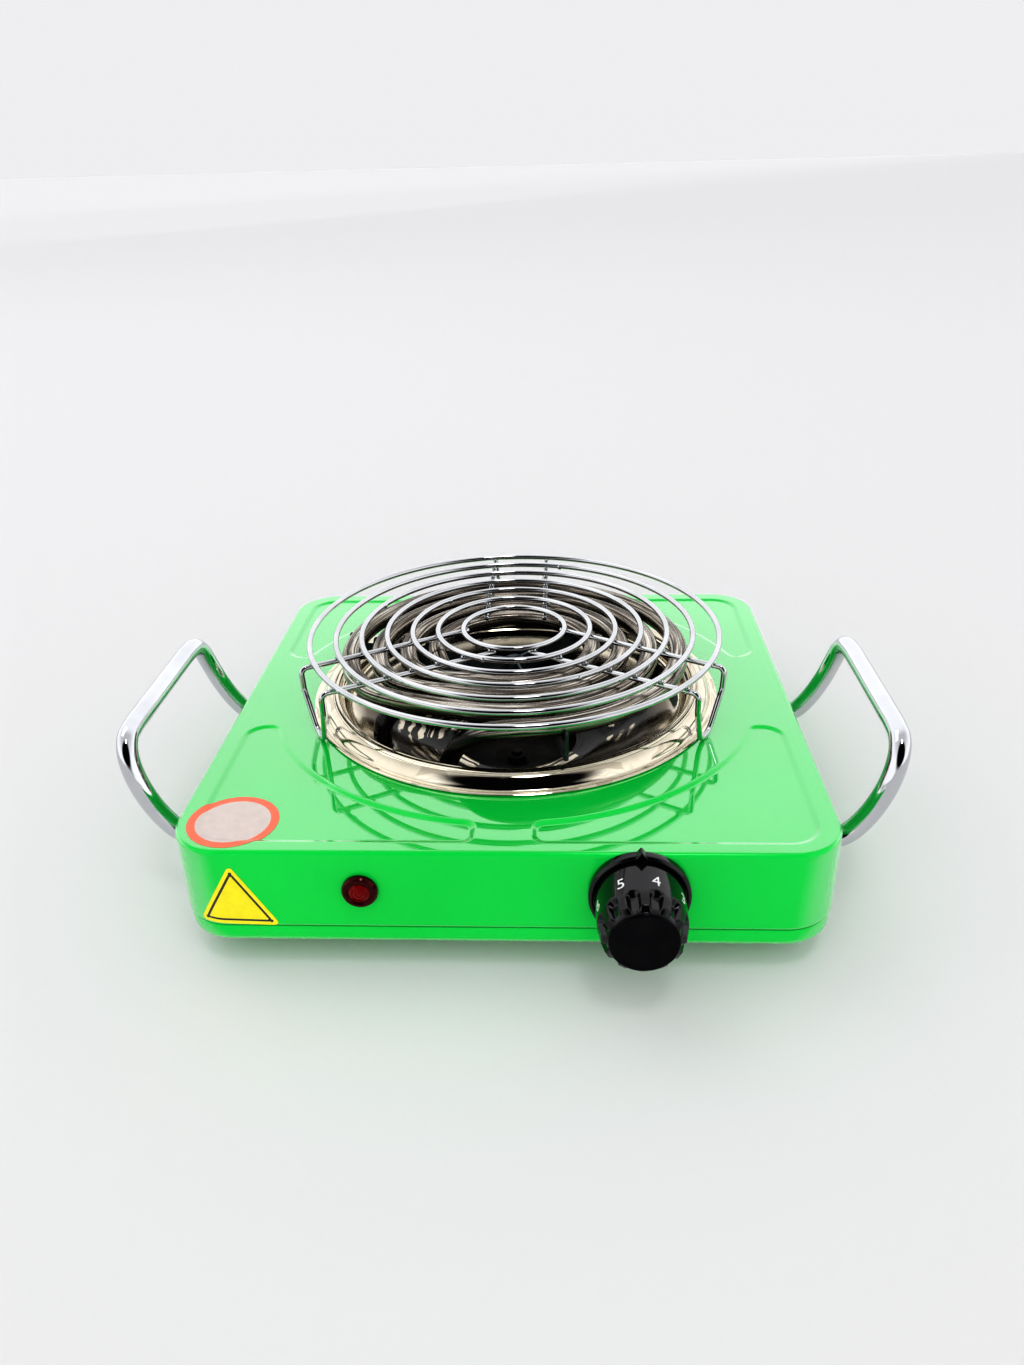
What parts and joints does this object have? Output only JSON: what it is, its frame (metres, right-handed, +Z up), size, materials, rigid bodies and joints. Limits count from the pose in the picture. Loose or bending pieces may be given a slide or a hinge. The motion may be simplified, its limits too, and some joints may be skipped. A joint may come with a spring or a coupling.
{
  "type": "hot plate burner",
  "caption": "Free-standing electric hot plate: enamelled steel body, spiral coil over a drip pan, lift-off wire grate, tube handles, rotary control and lamp.",
  "frame": {"origin": "on the floor under the middle of the whole object, at the level of the feet", "axes": "+X to the right along the longest side, from handle to handle, +Y to the back, away from the knob, +Z up"},
  "size_m": [0.2898, 0.2534, 0.0806],
  "materials": {
    "enamel_green": "glossy stove enamel",
    "chrome": "polished plating",
    "stainless": "mirror-bright spun sheet with fine turning lines",
    "coil_steel": "heat-tinted satin steel",
    "dark_steel": "dark oiled sheet",
    "zinc": "zinc plated",
    "brass": "machined",
    "copper": "rolled strip",
    "black_plastic": "glossy moulded",
    "red_lens": "clear red moulded",
    "rubber": "moulded",
    "ceramic": "unglazed steatite",
    "label_white": "coated paper",
    "label_yellow": "coated film",
    "wire_red": "insulation",
    "wire_blue": "insulation",
    "wire_earth": "insulation"
  },
  "bodies": {
    "root": {"top_cover": "enamel_green", "bottom_tray": "enamel_green", "handle_left": "chrome", "handle_right": "chrome", "drip_pan": "stainless", "heating_coil": "coil_steel", "coil_support": "dark_steel", "heat_shield": "dark_steel", "shield_bolt": "zinc", "shield_nut": "zinc", "thermostat_nut": "zinc", "thermostat_frame": "zinc", "thermostat_bimetal": "zinc", "lamp_clip": "zinc", "tray_screw_front_left": "zinc", "tray_screw_front_right": "zinc", "tray_screw_back_left": "zinc", "tray_screw_back_right": "zinc", "handle_screw_left_a": "zinc", "handle_screw_left_b": "zinc", "handle_screw_right_a": "zinc", "handle_screw_right_b": "zinc", "thermostat_bush": "brass", "terminal_nut_front": "brass", "terminal_nut_left": "brass", "earth_screw": "brass", "thermostat_fixed_leaf": "copper", "thermostat_moving_leaf": "copper", "knob_bezel": "black_plastic", "lamp_body": "black_plastic", "cord_gland": "black_plastic", "lamp_lens": "red_lens", "foot_front_left": "rubber", "foot_front_right": "rubber", "foot_back_left": "rubber", "foot_back_right": "rubber", "coil_bush_front": "ceramic", "coil_bush_left": "ceramic", "terminal_block": "ceramic", "thermostat_insulator": "ceramic", "top_label": "label_white", "front_label": "label_yellow", "wire_live": "wire_red", "wire_load": "wire_red", "wire_lamp_live": "wire_red", "wire_neutral": "wire_blue", "wire_lamp_neutral": "wire_blue", "wire_earth": "wire_earth"},
    "knob": {"knob": "black_plastic", "control_shaft": "zinc"},
    "grate": {"grate_ring_1": "chrome", "grate_ring_2": "chrome", "grate_ring_3": "chrome", "grate_ring_4": "chrome", "grate_ring_5": "chrome", "grate_ring_6": "chrome", "grate_ring_7": "chrome", "grate_leg_back": "chrome", "grate_leg_left": "chrome", "grate_leg_right": "chrome"}
  },
  "joints": [
    {"name": "knob_turn", "type": "hinge", "parent": "root", "child": "knob", "pos_m": [0.0457, -0.1013, 0.0355], "axis": [0, 1, 0], "range_deg": [-202.5, 67.5]},
    {"name": "grate_lift", "type": "slide", "parent": "root", "child": "grate", "axis": [0, 0, 1], "range_m": [0, 0.06]}
  ]
}
